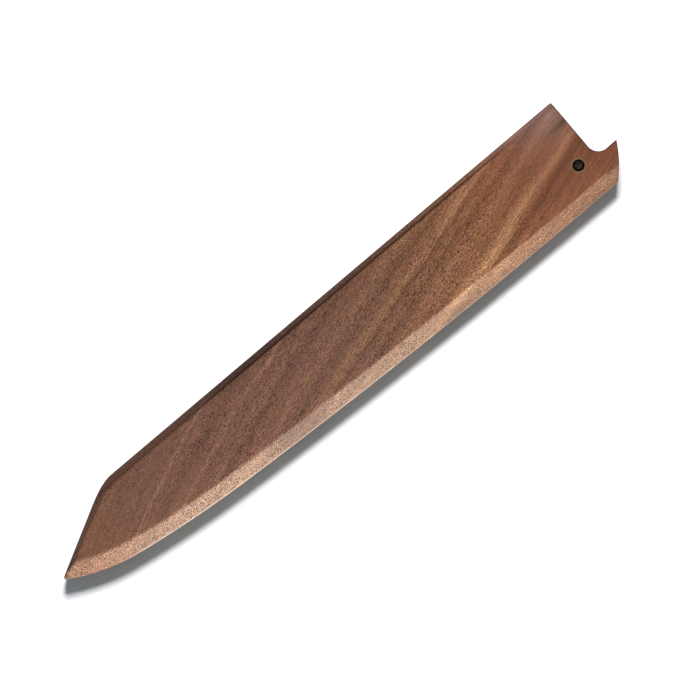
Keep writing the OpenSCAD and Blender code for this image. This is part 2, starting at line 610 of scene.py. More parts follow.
    def _ring_tone(self, spot: Spot) -> Sock:
        """Tone of the growth rings, stronger in some stretches than in others.

        Args:
            spot: the shaded point.

        Returns:
            A tone from about -0.5 to 0.7.
        """
        g = spot.graph
        tones = [stop for ring in self.rings for stop in ring.stops()]
        low, high = tones[0][0], tones[-1][0]
        # A ramp's colours can't go below 0, so the tones are kept in it with 0.5 added
        stops = [((at - low) / (high - low), (tone + 0.5,) * 3 + (1.0,)) for at, tone in tones]
        ramp = g.node(
            "ShaderNodeValToRGB",
            {"stops": stops, "ramp_interpolation": "EASE"},
            {0: (spot.growth - low) / (high - low)},
        )
        tone = g.node("ShaderNodeSeparateColor", {}, {0: ramp}, out=0) - 0.5
        # The third coordinate is fixed, so that a ring keeps its strength in depth
        strength = g.noise(g.vector(spot.along / 26.0, spot.level / 5.0, 3.7), 2.0, 0.5)
        return tone * (1.0 + 0.5 * strength)

    def _face(self, spot: Spot, figure: Figure) -> Sock:
        """Colour of the wood before the bevel, the chamfers and the hole are laid over it.

        Args:
            spot: the shaded point.
            figure: the fine figure there.

        Returns:
            The colour.
        """
        g, x = spot.graph, spot.x
        ring_tone = self._ring_tone(spot)
        planed = g.mark("planed")
        lines = spot.noise((24.0, 0.7, 0.9), 2.0, 0.6)
        dark_lines = spot.noise((48.0, 0.85, 1.2), 2.0, 0.55).step(0.35, 0.95)
        tone = (
            ring_tone
            + self._lift_and_shoulder_light(spot)
            - dark_lines * (x.step(20.0, 80.0) * 0.12 + 0.07)
            + figure.streaks * (x.step(30.0, 80.0) * 0.05 + 0.125)
            + lines * (x.step(20.0, 95.0) * 0.14 + 0.09)
            + figure.mottle * 0.08
            + (figure.sanded * (1.0 - planed) + figure.planed * planed)
            - figure.pores * 0.55
            - x.step(134.5, 138.5) * 0.12
        )
        colour = g.toned(self._tint(spot, figure, ring_tone), tone)
        return g.mix(self._mouth_streak(spot) * 0.85, colour, srgb(*self.smoky))

    def _tint(self, spot: Spot, figure: Figure, ring_tone: Sock) -> Sock:
        """Hue of the wood: cool in the middle, warm and rusty towards the mouth.

        Args:
            spot: the shaded point.
            figure: the fine figure there.
            ring_tone: the tone of the growth rings there.

        Returns:
            The tint, at about the same lightness everywhere.
        """
        g, x = spot.graph, spot.x
        warmth = x.step(-12.0, 108.0) + x.below(-132.0, -96.0) * 0.35 + figure.streaks * 0.15
        tint = g.mix(warmth, srgb(*self.cool), srgb(*self.warm))
        tint = g.mix(x.step(75.0, 112.0) * 0.75, tint, srgb(*self.rust))
        pale = ring_tone.step(0.0, 0.4) * (x.step(-70.0, 10.0) * 0.75 - x.step(90.0, 125.0) * 0.35)
        tint = g.mix(pale, tint, srgb(*self.tan))
        hue = spot.noise((10.0, 3.4, 3.4), 3.0, 0.6)
        tint = g.mix(hue.step(0.05, 1.0) * 0.7, tint, srgb(*self.red))
        tint = g.mix((hue * -1.0).step(0.05, 1.0) * 0.7, tint, srgb(*self.olive))
        haze = x.step(104.0, 142.0) * (spot.y - 0.18 * x).step(-24.0, 0.0)
        return g.mix(haze * 0.9, tint, srgb(*self.haze))

    def _lift_and_shoulder_light(self, spot: Spot) -> Sock:
        """Painted light on the rounded shoulder beside the edge bevel, and a lighter tone by the spine
        towards the mouth.

        The bevel's inner border lies at (mouth_x - edge_straight - x)^2 / 2R
        above its place at the mouth, as the belly's edge line does.

        Args:
            spot: the shaded point.

        Returns:
            A tone from 0.05, where there is no lift, to about 0.4.
        """
        plan, x = self.plan, spot.x
        belly = (plan.mouth_x - plan.edge_straight - x).at_least(0.0)
        border = belly * belly / (2 * plan.belly_radius) + (
            plan.spine_y - plan.mouth_width + plan.edge_fall.width
        )
        from_border = spot.y - border
        beside = from_border.below(1.0, 8.0)
        by_heel = from_border.step(-4.5, -2.0) * x.between(45.0, 66.0, 84.0, 98.0)
        ahead = x.below(-60.0, -35.0)
        by_spine = spot.y.step(6.0, 15.0) * x.step(55.0, 90.0)
        behind_middle = x.between(60.0, 76.0, 100.0, 118.0)
        # Painted light on the rounded shoulder beside the bevel
        shoulder_light = beside * (by_heel * 0.24 + ahead * 0.04 + 0.05)
        return shoulder_light + by_spine * 0.1 + behind_middle * 0.08 + 0.05

    @staticmethod
    def _mouth_streak(spot: Spot) -> Sock:
        """Share of the smoky streak that comes in from the mouth line and fades, 0 to 1."""
        off = spot.y - (spot.x - 138.8) * 0.14 - 12.9
        return off.between(-1.8, -0.4, 0.4, 1.8) * spot.x.step(122.0, 140.0)

    def _with_bevel(self, spot: Spot, figure: Figure, colour: Sock, worn: Sock) -> Sock:
        """Lays the edge bevel over the face: freshly cut wood with painted sheen, stained, with painted
        light and shade, and a painted highlight at its foot.

        Args:
            spot: the shaded point.
            figure: the fine figure there.
            colour: the face's colour.
            worn: share of the painted highlight along the foot.

        Returns:
            The colour with the bevel.
        """
        g, x = spot.graph, spot.x
        planed = g.mark("planed")
        # The pale cut colours are partly painted sheen, and their darkening towards the mouth and the
        # point is partly painted shade
        cut = g.mix(x.step(15.0, 125.0), srgb(*self.cut), srgb(*self.cut_mouth))
        cut = g.mix(x.step(-142.0, -98.0), srgb(*self.cut_point), cut)
        cut_with_sheen = g.toned(cut, figure.planed * 1.2 + figure.streaks * 0.14 + figure.mottle * 0.12)
        colour = g.mix(planed * (x.step(60.0, 110.0) * 0.18 + 0.42), colour, cut_with_sheen)
        stain = x.between(-50.0, -36.0, -30.0, -12.0) * planed
        colour = g.mix(stain * 0.5, colour, srgb(*self.stain))
        # Painted light and shade along the bevel
        colour = g.toned(colour, self._bevel_light_and_shade(spot) * planed)
        # Painted highlight along the rounded foot of the bevel
        return g.mix(worn * 0.66, colour, srgb(*self.highlight_pale))

    @staticmethod
    def _bevel_light_and_shade(spot: Spot) -> Sock:
        """Painted light and shade on the edge bevel: darker at its foot, lighter in the point and inside.

        Args:
            spot: the shaded point.

        Returns:
            A tone from about -0.5 to 0.2.
        """
        x = spot.x
        foot = spot.off_seam.below(2.5, 4.4)
        foot_shade = x.step(0.0, 50.0) * 0.16 + x.step(112.0, 134.0) * 0.33 + x.below(-145.0, -139.0) * 0.12
        middle = x.between(32.0, 42.0, 50.0, 60.0) * 0.05
        fore = x.between(-52.0, -44.0, -24.0, -14.0) * 0.1
        point = x.below(-136.0, -118.0) * 0.14 + x.below(-75.0, -58.0) * 0.05
        inner = x.between(38.0, 52.0, 72.0, 84.0) + x.between(-96.0, -84.0, -54.0, -42.0)
        return point + inner * spot.off_seam.step(4.6, 5.6) * 0.1 - middle - fore - foot * foot_shade

    def _spine_marks(self, spot: Spot) -> SpineMarks:
        """Works out what marks the spine, from the distance inside its chamfer.

        The chamfer's width goes evenly from the mouth's to the knee's.

        Args:
            spot: the shaded point.

        Returns:
            The shares of the line, the shade and the chamfer.
        """
        plan = self.plan
        d = plan.mouth_x - spot.x
        widening = (plan.knee_chamfer - plan.spine_fall.width) / plan.knee_in
        inside = plan.spine_y - spot.y - (plan.spine_fall.width + widening * d)
        present = d.step(5.0, 60.0) * (1.0 - d.step(165.0, 215.0) * 0.85)
        near = inside.between(-1.3, -0.3, -0.1, 1.0)
        wide = inside.between(-1.4, -0.2, 0.0, 3.4) * d.step(90.0, 150.0)
        by_knee = inside.between(-0.8, 0.2, 0.3, 1.6) * d.step(185.0, 210.0)
        # line and shade are painted shade along the spine's chamfer
        return SpineMarks(
            line=inside.between(-0.9, -0.25, -0.15, 0.5) * present,
            shade=(near * 0.3 + wide * 0.5) * present + by_knee * 0.45,
            chamfer=inside.below(-0.4, 0.7) * spot.near_face(),
            inner=inside.step(-2.4, -1.2) * d.step(185.0, 220.0),
        )

    def _with_chamfers(self, spot: Spot, spine: SpineMarks, colour: Sock) -> Sock:
        """Lays the chamfers of the spine and the end over the wood, with painted sheen, light and shade.

        Args:
            spot: the shaded point.
            spine: the marks along the spine there.
            colour: the wood's colour.

        Returns:
            The colour with the chamfers and the painted line of shade.
        """
        g, x = spot.graph, spot.x
        # Painted sheen on the chamfers: greyer along most of the spine, paler towards the mouth
        old = g.mix(x.step(92.0, 126.0), srgb(*self.chamfer_sheen_grey), srgb(*self.chamfer_sheen_pale))
        colour = g.mix(spine.chamfer * (x.step(96.0, 124.0) * 0.35 + 0.45), colour, old)
        # Painted light and shade along the spine's chamfer, by stretches
        chamfer_light_tone = (
            x.between(35.0, 75.0, 114.0, 130.0) * 0.3
            - x.between(-75.0, -45.0, -15.0, 15.0) * 0.34
            + x.below(-80.0, -55.0) * 0.12
        )
        # Painted shade on the end's rim
        colour = g.toned(colour, chamfer_light_tone * spine.chamfer - self._end_rim_shade(spot) * 0.4)
        colour = g.mix(spine.inner * spine.chamfer * 0.5, colour, srgb(*self.ruddy))
        # Painted shade: a thin dark line in the glue's colour along the chamfer's inner border
        return g.mix(spine.line * 0.84, colour, srgb(*self.line))

    def _end_rim_shade(self, spot: Spot) -> Sock:
        """Painted shade on the rim of the sloping end's chamfer, stronger towards the point.

        Args:
            spot: the shaded point.

        Returns:
            The rim's share, 0 to about 2.5.
        """
        plan = self.plan
        past_knee = plan.mouth_x - plan.knee_in - spot.x
        down = plan.spine_y - spot.y
        inside = down * math.cos(plan.tip_angle) - past_knee * math.sin(plan.tip_angle)
        rim = inside.below(0.5, 1.5) * past_knee.step(8.0, 26.0)
        tip = inside.below(0.8, 1.6) * past_knee.step(34.0, 37.5)
        beside = inside.between(0.3, 1.1, 1.2, 3.2) * past_knee.step(30.0, 37.0)
        return (rim + tip + beside) * spot.near_face()

    def _with_hole(self, spot: Spot, colour: Sock) -> Sock:
        """Lays painted shade, nearly black, on the wall and rim of the peg's hole over the wood.

        On the face a pale ring lies round the painted shade.

        Args:
            spot: the shaded point.
            colour: the wood's colour.

        Returns:
            The colour with the hole.
        """
        g, z = spot.graph, spot.z
        away = from_peg(self.plan, spot.x, spot.y)
        rough = g.noise(g.vector(spot.x / 0.5, spot.y / 0.5, z / 2.0), 1.0, 0.5)
        halo = (away + rough * 0.1).below(2.9, 3.5) * z.step(13.0, 13.9)
        # Painted shade, nearly black, in the bore and on its rim
        bore_shade = (away + rough * 0.06).below(2.45, 2.75) * z.step(0.6, 1.1)
        colour = g.mix(halo * 0.4, colour, srgb(*self.pale_ring))
        return g.mix(bore_shade, colour, srgb(*self.bore_shade_colour))


@dataclass(frozen=True)
class EbonyFinish:
    """Dark turned hardwood, polished smooth, with faint turning rings and painted shade round its border.
    """

    plan: GuardPlan
    name: str = "ebony"
    dark: Tint = (36, 32, 27)
    light: Tint = (62, 56, 46)
    # Painted shade, nearly black, round the peg's outer border
    edge: Tint = (24, 14, 8)

    def make(self) -> bpy.types.Material:
        """Builds the peg's material on Object coordinates.

        Returns:
            The material.
        """
        material, g = new_material(self.name)
        x, y, z = g.place()
        grain = g.noise(g.vector(x / 0.35, y / 0.35, z / 6.0), 3.0, 0.6)
        rings = g.noise(g.vector(x / 4.0, y / 4.0, z / 0.22), 2.0, 0.5)
        share = (grain * 0.5 + rings * 0.2 + 0.45).step(0.0, 1.0)
        colour = g.mix(share, srgb(*self.dark), srgb(*self.light))
        # Painted shade round the border of the peg's head
        rim = from_peg(self.plan, x, y).step(1.55, 1.95)
        g.surface({
            "Base Color": g.mix(rim * 0.9, colour, srgb(*self.edge)),
            "Roughness": 0.55 + grain * 0.05,
            "Normal": g.bump(grain + rings, 0.3, 0.04),
            "Specular IOR Level": 0.1,
        })
        return material


# Shape maths


def unit(v: np.ndarray) -> np.ndarray:
    """Vectors scaled to length 1 along their last axis."""
    return v / np.linalg.norm(v, axis=-1, keepdims=True)


def crossing(p: np.ndarray, u: np.ndarray, q: np.ndarray, v: np.ndarray) -> np.ndarray:
    """Crossing of the line through p along u with the line through q along v."""
    w = q - p
    return p + u * (w[0] * v[1] - w[1] * v[0]) / (u[0] * v[1] - u[1] * v[0])


def bend(a: np.ndarray, c: np.ndarray, b: np.ndarray, steps: int) -> np.ndarray:
    """Smooth corner a(1-t)^2 + 2ct(1-t) + bt^2 from a to b, t from 0 to 1."""
    t = np.linspace(0.0, 1.0, steps + 1)[:, None]
    return a * (1 - t) ** 2 + 2 * c * t * (1 - t) + b * t**2


def run(a: np.ndarray, b: np.ndarray, steps: int) -> np.ndarray:
    """Points strictly between a and b at even spacing."""
    t = np.linspace(0.0, 1.0, steps + 2)[1:-1, None]
    return a + (b - a) * t


def arc(centre: np.ndarray, radius: float, angles: np.ndarray) -> np.ndarray:
    """Points centre + radius (cos a, sin a) for each angle a."""
    return centre + radius * np.stack([np.cos(angles), np.sin(angles)], -1)


def ramp(at: np.ndarray, low: float, high: float) -> np.ndarray:
    """Straight rise from 0 below low to 1 above high."""
    return np.clip((np.asarray(at, float) - low) / (high - low), 0.0, 1.0)


def eased(at: np.ndarray, low: float, high: float) -> np.ndarray:
    """Smooth step t^2 (3 - 2t) from 0 below low to 1 above high."""
    t = ramp(at, low, high)
    return t * t * (3 - 2 * t)


@dataclass(frozen=True)
class Fall:
    """Profile of a bevel that falls from the face to the side wall.

    The slope runs from "width" inside the edge at the face to the edge at
    "depth". Its shoulder and its foot are arcs tangent to their neighbours. At
    depth h the shoulder's inset is width + t - sqrt(r^2 - (r - h)^2) with
    t = r tan(slope / 2), the slope's is width (1 - h / depth), and the foot's
    is f - sqrt(f^2 - (depth + s - h)^2) with s = f tan((90 - slope) / 2).
    """

    width: float
    depth: float
    shoulder: float
    foot: float

    def inset(self, h: float, width: Any = None, shoulder: Any = None) -> Any:
        """Distance inside the edge at a depth below the face.

        Args:
            h: depth below the face.
            width: the bevel's width there, as a number or an array.
            shoulder: the shoulder's radius there, as a number or an array.

        Returns:
            The inset, in the shape of width and shoulder.
        """
        width = np.asarray(self.width if width is None else width, float)
        r = np.asarray(self.shoulder if shoulder is None else shoulder, float)
        slope = np.arctan2(self.depth, width)
        on_shoulder = width + r * np.tan(slope / 2) - np.sqrt(np.maximum(r**2 - (r - h) ** 2, 0.0))
        straight = width * (1 - h / self.depth)
        upper = np.where(h < r * (1 - np.cos(slope)), on_shoulder, straight)
        s = self.foot * np.tan((math.pi / 2 - slope) / 2)
        drop = self.depth + s - h
        on_foot = self.foot - np.sqrt(np.maximum(self.foot**2 - drop**2, 0.0))
        lower = np.where(drop > 0, on_foot, 0.0)
        return np.where(h > self.depth - s * np.sin(slope), lower, upper)


@dataclass(frozen=True)
class Steps:
    """Number of points along each stretch of the outline."""

    spine: int = 110
    knee: int = 16
    end: int = 26
    point: int = 8
    edge: int = 188
    horn: int = 30
    horn_tip: int = 5
    flank: int = 4
    notch: int = 30
    mouth: int = 24
    corner: int = 6
    pocket_knee: int = 6
    pocket_point: int = 8
    pocket_edge: int = 90


@dataclass(frozen=True)
class GuardPlan:
    """Plan outline of the guard at any depth below a face.

    Places along the spine are counted from the mouth line, and places across it
    from the spine line.
    """

    # The boards, and the sloping end, whose line is swollen outwards
    body_length: float = 290.0
    mouth_width: float = 44.6
    board_thickness: float = 7.0
    tip_angle: float = math.radians(28.0)
    tip_drop: float = 21.5
    end_swell: float = 0.7
    # How far the knee's and the point's curves reach from their corners
    knee_before: float = 5.1
    knee_after: float = 10.5
    point_blunt: float = 2.3
    # The edge line: straight, then the belly, the sweep and the point
    edge_straight: float = 26.0
    belly_radius: float = 3000.0
    fore_length: float = 85.0
    fore_radius: float = 500.0
    point_length: float = 31.0
    # The mouth with its notch and horn
    horn_length: float = 11.2
    notch_floor: float = 30.3
    notch_radius: float = 5.6
    horn_lift: float = 0.15
    horn_bulge: float = 0.7
    horn_blunt: float = 0.7
    mouth_corner: float = 0.8
    # The bevel of the edge, and what it gains in width and in its shoulder
    edge_fall: Fall = Fall(width=6.2, depth=4.6, shoulder=0.6, foot=0.9)
    heel_gain: float = 0.25
    point_gain: float = 0.7
    shoulder_gain: float = 2.6
    # The chamfer of the spine and the end, wider at the knee
    spine_fall: Fall = Fall(width=2.1, depth=2.6, shoulder=0.7, foot=0.6)
    knee_chamfer: float = 3.2
    end_chamfer: float = 2.8
    waist_chamfer: float = 1.75
    point_chamfer: float = 1.9
    # The softened mouth, and the groove along the glued seam
    mouth_fall: Fall = Fall(width=0.3, depth=0.3, shoulder=0.5, foot=0.5)
    seam_groove: float = 0.14
    # The pocket's walls, its curved corners and its reach past the horn
    spine_wall: float = 3.6
    end_wall: float = 4.4
    edge_wall: float = 4.6
    pocket_knee: float = 1.5
    pocket_blunt: float = 3.0
    pocket_over: float = 6.0
    # The peg's axis
    peg_in: float = 8.3
    peg_down: float = 28.1
    steps: Steps = Steps()

    @property
    def mouth_x(self) -> float:
        """X of the mouth line."""
        return (self.body_length - self.horn_length) / 2

    @property
    def spine_y(self) -> float:
        """Y of the spine line."""
        return self.mouth_width / 2

    @property
    def end_drop(self) -> float:
        """Distance of the sloping end's line from the spine line, at the point."""
        return self.tip_drop - self.end_swell

    @property
    def knee_in(self) -> float:
        """Distance of the knee from the mouth line."""
        return self.body_length - self.end_drop / math.tan(self.tip_angle)

    @property
    def end_way(self) -> np.ndarray:
        """Direction of the sloping end's line, away from the knee."""
        return np.array([math.cos(self.tip_angle), math.sin(self.tip_angle)])

    @property
    def end_inwards(self) -> np.ndarray:
        """Direction into the wood, square to the sloping end's line."""
        return np.array([-math.sin(self.tip_angle), math.cos(self.tip_angle)])

    @property
    def peg_centre(self) -> np.ndarray:
        """X and Y of the peg's axis."""
        return self.to_xy(np.array([self.peg_in, self.peg_down]))

    def to_xy(self, points: np.ndarray) -> np.ndarray:
        """Plan points [in, down] as X and Y."""
        return np.stack([self.mouth_x - points[..., 0], self.spine_y - points[..., 1]], -1)

    def edge_down(self, d: np.ndarray) -> np.ndarray:
        """Distance of the edge line from the spine line.

        The line loses width by three parabolas: (d - edge_straight)^2 / 2R for
        the belly, one more for the sweep of the fore part, and one in the point
        that is as strong as it must be to end exactly at the point.

        Args:
            d: distances from the mouth line.

        Returns:
            The distances from the spine line.
        """
        d = np.asarray(d, float)
        fore = self.body_length - self.fore_length
        sweep = 1 / self.fore_radius - 1 / self.belly_radius

        def loss(q: np.ndarray) -> np.ndarray:
            """Width lost to the belly and the sweep."""
            belly = np.maximum(q - self.edge_straight, 0) ** 2 / (2 * self.belly_radius)
            return belly + np.maximum(q - fore, 0) ** 2 * sweep / 2

        rest = self.mouth_width - self.tip_drop - loss(np.float64(self.body_length))
        start = self.body_length - self.point_length
        return self.mouth_width - loss(d) - rest * (np.maximum(d - start, 0) / self.point_length) ** 2

    def edge_point(self, d: np.ndarray, inset: Any) -> np.ndarray:
        """Points of the edge line, moved inwards square to the line.

        Args:
            d: distances from the mouth line.
            inset: how far each point is moved.

        Returns:
            The points [in, down].
        """
        d = np.asarray(d, float)
        nudge = 0.01
        slope = (self.edge_down(d - nudge) - self.edge_down(d + nudge)) / (2 * nudge)
        normal = unit(np.stack([-slope, -np.ones_like(slope)], -1))
        return np.stack([d, self.edge_down(d)], -1) + np.asarray(inset)[..., None] * normal

    def shoulder_at(self, d: np.ndarray) -> np.ndarray:
        """Radius of the edge bevel's shoulder: crisp at the mouth, softer ahead."""
        return self.edge_fall.shoulder + self.shoulder_gain * eased(d, 70.0, 170.0)

    def bevel_at(self, d: np.ndarray) -> np.ndarray:
        """Width of the edge bevel: a little more behind the heel and in the point."""
        heel = self.heel_gain * eased(d, 50.0, 65.0) * (1 - eased(d, 150.0, 170.0))
        return self.edge_fall.width + heel + self.point_gain * eased(d, 240.0, 270.0)

    def groove(self, h: float) -> float:
        """Inset of the fine groove along the glued seam."""
        return max(0.0, h - (self.board_thickness - self.seam_groove))

    def edge_inset(self, d: np.ndarray, h: float) -> np.ndarray:
        """Inset of the edge bevel at plan distance d and depth h."""
        return self.edge_fall.inset(h, self.bevel_at(d), self.shoulder_at(d)) + self.groove(h)

    def chamfer_inset(self, width: float, h: float) -> float:
        """Inset at depth h of the spine's or the end's chamfer, where it has a width."""
        return float(self.spine_fall.inset(h, width=width)) + self.groove(h)

    def tip_at(self, start: np.ndarray, way: np.ndarray, inset_at: Callable[[float], Any]) -> float:
        """Finds where the inset edge line meets the end's line, by halving.

        Args:
            start: a point of the end's line.
            way: the direction of the end's line.
            inset_at: gives the edge's inset at a distance from the mouth line.

        Returns:
            The crossing's distance from the mouth line.
        """
        low, high = self.body_length - self.fore_length, self.body_length + 1.0
        for _ in range(40):
            mid = (low + high) / 2
            p = self.edge_point(np.float64(mid), inset_at(mid))
            inside = (p[1] - start[1]) * way[0] - (p[0] - start[0]) * way[1] > 0
            low, high = (mid, high) if inside else (low, mid)
        return (low + high) / 2

    def outline(self, h: float) -> np.ndarray:
        """Closed outline at a depth below the face.

        It starts where the spine meets the mouth and runs along the spine, the
        knee, the sloping end, the point, the edge, the horn and the notch, with
        the same number of points at every depth. The sloping end is straight
        plus half a sine wave outwards, by which its chamfer is narrower halfway.

        Args:
            h: depth below the face, from 0 to the board's thickness.

        Returns:
            Points [in, down] as an array of shape (count, 2).
        """
        steps = self.steps
        mouth = float(self.mouth_fall.inset(h)) + self.groove(h)
        spine_mouth = self.chamfer_inset(self.spine_fall.width, h)
        spine_knee = self.chamfer_inset(self.knee_chamfer, h)
        end_knee = self.chamfer_inset(self.end_chamfer, h)
        end_point = self.chamfer_inset(self.point_chamfer, h)

        spine_start = np.array([0.0, spine_mouth])
        spine_way = unit(np.array([self.knee_in, spine_knee]) - spine_start)
        end_start = np.array([self.knee_in, 0.0]) + end_knee * self.end_inwards
        end_stop = np.array([self.body_length, self.end_drop]) + end_point * self.end_inwards
        slope = unit(end_stop - end_start)
        knee = crossing(spine_start, spine_way, end_start, slope)
        knee_start = knee - spine_way * self.knee_before
        knee_stop = knee + slope * self.knee_after

        reach = self.tip_at(end_start, slope, lambda d: self.edge_inset(d, h))
        point = self.edge_point(np.float64(reach), self.edge_inset(reach, h))
        point_start = point - slope * self.point_blunt
        last = reach - self.point_blunt
        point_stop = self.edge_point(np.float64(last), self.edge_inset(last, h))

        half_turn = np.linspace(0.0, math.pi, steps.end + 2)[1:-1, None]
        waist = self.chamfer_inset(self.waist_chamfer, h)
        swell = np.sin(half_turn) * ((end_knee + end_point) / 2 - waist) * self.end_inwards
        horn = self._horn(mouth, h)
        # The edge's points lie closer together by the point
        share = np.linspace(0.0, 1.0, steps.edge + 2)[1:-1] ** 1.25
        edge_in = last - (last - horn[0, 0]) * share

        corner = spine_start + spine_way * (mouth - spine_start[0]) / spine_way[0]
        corner_spine = corner + spine_way * self.mouth_corner
        corner_mouth = corner + np.array([0.0, self.mouth_corner])
        return np.concatenate([
            corner_spine[None],
            run(corner_spine, knee_start, steps.spine),
            bend(knee_start, knee, knee_stop, steps.knee),
            run(knee_stop, point_start, steps.end) - swell,
            bend(point_start, point, point_stop, steps.point),
            self.edge_point(edge_in, self.edge_inset(edge_in, h)),
            horn,
            run(horn[-1], corner_mouth, steps.mouth),
            bend(corner_mouth, corner, corner_spine, steps.corner)[:-1],
        ])

    def _horn(self, mouth: float, h: float) -> np.ndarray:
        """Outline of the horn and the notch, from the edge line to the mouth line.

        The horn's end is an arc through its tip and the edge's corner, the
        flank is a line tangent to the notch's arc, and all are moved inwards.
        Here the first coordinate grows out of the mouth.

        Args:
            mouth: inset of the mouth's softened edge.
            h: depth below the face, for the edge bevel's inset.

        Returns:
            Points [in, down], the first on the edge line.
        """
        steps = self.steps
        tip = np.array([self.horn_length, self.notch_floor - self.horn_lift])
        foot = np.array([0.0, self.mouth_width])
        length = float(np.linalg.norm(foot - tip))
        outward = np.array([foot[1] - tip[1], tip[0] - foot[0]]) / length
        full_radius = (length**2 / 4 + self.horn_bulge**2) / (2 * self.horn_bulge)
        centre = (tip + foot) / 2 + outward * (self.horn_bulge - full_radius)
        radius = full_radius - mouth

        notch_centre = np.array([self.notch_radius, self.notch_floor - self.notch_radius])
        notch_radius = self.notch_radius + mouth
        to_tip = tip - notch_centre
        between = math.acos(self.notch_radius / float(np.linalg.norm(to_tip)))
        flank_angle = math.atan2(to_tip[1], to_tip[0]) + between
        spoke = np.array([math.cos(flank_angle), math.sin(flank_angle)])
        flank = np.array([spoke[1], -spoke[0]])
        touch = notch_centre + notch_radius * spoke

        # Crossing of the flank with the horn's arc, by the quadratic formula
        rel = touch - centre
        half = float(rel @ flank)
        horn_tip = touch + flank * (-half + math.sqrt(half**2 - rel @ rel + radius**2))
        end_rel = horn_tip - centre
        # Crossing of the edge line with the horn's arc
        down = self.mouth_width - float(self.edge_inset(np.float64(0.0), h)) - centre[1]
        begin = math.atan2(down, math.sqrt(radius**2 - down**2))
        end = math.atan2(end_rel[1], end_rel[0]) + self.horn_blunt / full_radius

        horn_end = arc(centre, radius, np.linspace(begin, end, steps.horn))
        rounding = bend(horn_end[-1], horn_tip, horn_tip - flank * self.horn_blunt, steps.horn_tip)
        notch = arc(notch_centre, notch_radius, np.linspace(flank_angle, math.pi, steps.notch))
        to_notch = run(rounding[-1], notch[0], steps.flank)
        return np.concatenate([horn_end[:-1], rounding, to_notch, notch]) * np.array([-1.0, 1.0])

    def pocket(self, grow: float = 0.0) -> np.ndarray:
        """Outline of the blade pocket in [in, down], open past the mouth.

        Args:
            grow: how far the outline is moved outwards.

        Returns:
            Points as an array of shape (count, 2).
        """
        steps = self.steps
        spine, end_wall, edge_wall = self.spine_wall - grow, self.end_wall - grow, self.edge_wall - grow
        over = self.horn_length + self.pocket_over
        end_start = np.array([self.knee_in, 0.0]) + end_wall * self.end_inwards
        knee = crossing(np.array([0.0, spine]), np.array([1.0, 0.0]), end_start, self.end_way)
        knee_start = knee - np.array([self.pocket_knee, 0.0])
        knee_stop = knee + self.end_way * self.pocket_knee
        reach = self.tip_at(end_start, self.end_way, lambda d: edge_wall)
        point = self.edge_point(np.float64(reach), edge_wall)
        point_start = point - self.end_way * self.pocket_blunt
        last = reach - self.pocket_blunt
        point_stop = self.edge_point(np.float64(last), edge_wall)
        # The edge's points lie closer together by the point
        edge_in = last - (last + over) * np.linspace(0.0, 1.0, steps.pocket_edge) ** 1.3
        return np.concatenate([
            np.array([[-over, spine]]),
            bend(knee_start, knee, knee_stop, steps.pocket_knee),
            bend(point_start, point, point_stop, steps.pocket_point)[:-1],
            self.edge_point(edge_in, edge_wall),
        ])


# Mesh making


def mesh_object(name: str, points: np.ndarray, faces: list[list[int]]) -> bpy.types.Object:
    """Makes a linked mesh object.

    Args:
        name: the object's and the mesh's name.
        points: its points in millimetres.
        faces: the point numbers of each face.

    Returns:
        The object.
    """
    mesh = bpy.data.meshes.new(name)
    mesh.from_pydata((points * MM).tolist(), [], faces)
    mesh.update()
    made = bpy.data.objects.new(name, mesh)
    bpy.context.scene.collection.objects.link(made)
    return made


def at_height(xy: np.ndarray, z: float) -> np.ndarray:
    """Points (x, y) as points (x, y, z)."""
    return np.concatenate([xy, np.full((len(xy), 1), z)], 1)


def stacked(name: str, rings: np.ndarray) -> bpy.types.Object:
    """Closed solid through rings of equal length, the first one the highest.

    Each pair of neighbouring rings is joined by quads, and the first and last
    ring are closed by one flat face. The rings run anticlockwise from above.

    Args:
        name: the object's name.
        rings: array of shape (levels, count, 3), in millimetres.

    Returns:
        The solid.
    """
    levels, count = rings.shape[:2]
    index = np.arange(levels * count).reshape(levels, count)
    upper, lower = index[:-1], index[1:]
    quads = np.stack(
        [upper, lower, np.roll(lower, -1, 1), np.roll(upper, -1, 1)], -1
    ).reshape(-1, 4)
    faces = quads.tolist() + [index[0].tolist(), index[-1][::-1].tolist()]
    return mesh_object(name, rings.reshape(-1, 3), faces)


def turned(name: str, profile: np.ndarray, centre: Sequence[float], steps: int = 96) -> bpy.types.Object:
    """Closed solid of revolution about a line parallel to Z.

    A profile point (r, z) sweeps the circle centre + r (cos a, sin a) at
    height z. The first and the last lie on the axis and become single points.

    Args:
        name: the object's name.
        profile: points (r, z) from the lower to the upper end of the axis.
        centre: X and Y of the axis.
        steps: number of points on each circle.

    Returns:
        The solid.
    """
    a = np.linspace(0.0, 2 * math.pi, steps, endpoint=False)
    r, z = profile[1:-1, 0, None], profile[1:-1, 1, None]
    wall = np.stack(
        [centre[0] + r * np.cos(a), centre[1] + r * np.sin(a), np.broadcast_to(z, (len(r), steps))], -1
    )
    poles = np.array([[centre[0], centre[1], profile[0, 1]], [centre[0], centre[1], profile[-1, 1]]])
    index = np.arange(wall.shape[0] * steps).reshape(-1, steps)
    low, high = index.size, index.size + 1
    quads = np.stack(
        [index[:-1], np.roll(index[:-1], -1, 1), np.roll(index[1:], -1, 1), index[1:]], -1
    ).reshape(-1, 4)
    bottom = np.stack([np.full(steps, low), np.roll(index[0], -1), index[0]], -1)
    top = np.stack([np.full(steps, high), index[-1], np.roll(index[-1], -1)], -1)
    faces = quads.tolist() + bottom.tolist() + top.tolist()
    return mesh_object(name, np.concatenate([wall.reshape(-1, 3), poles]), faces)


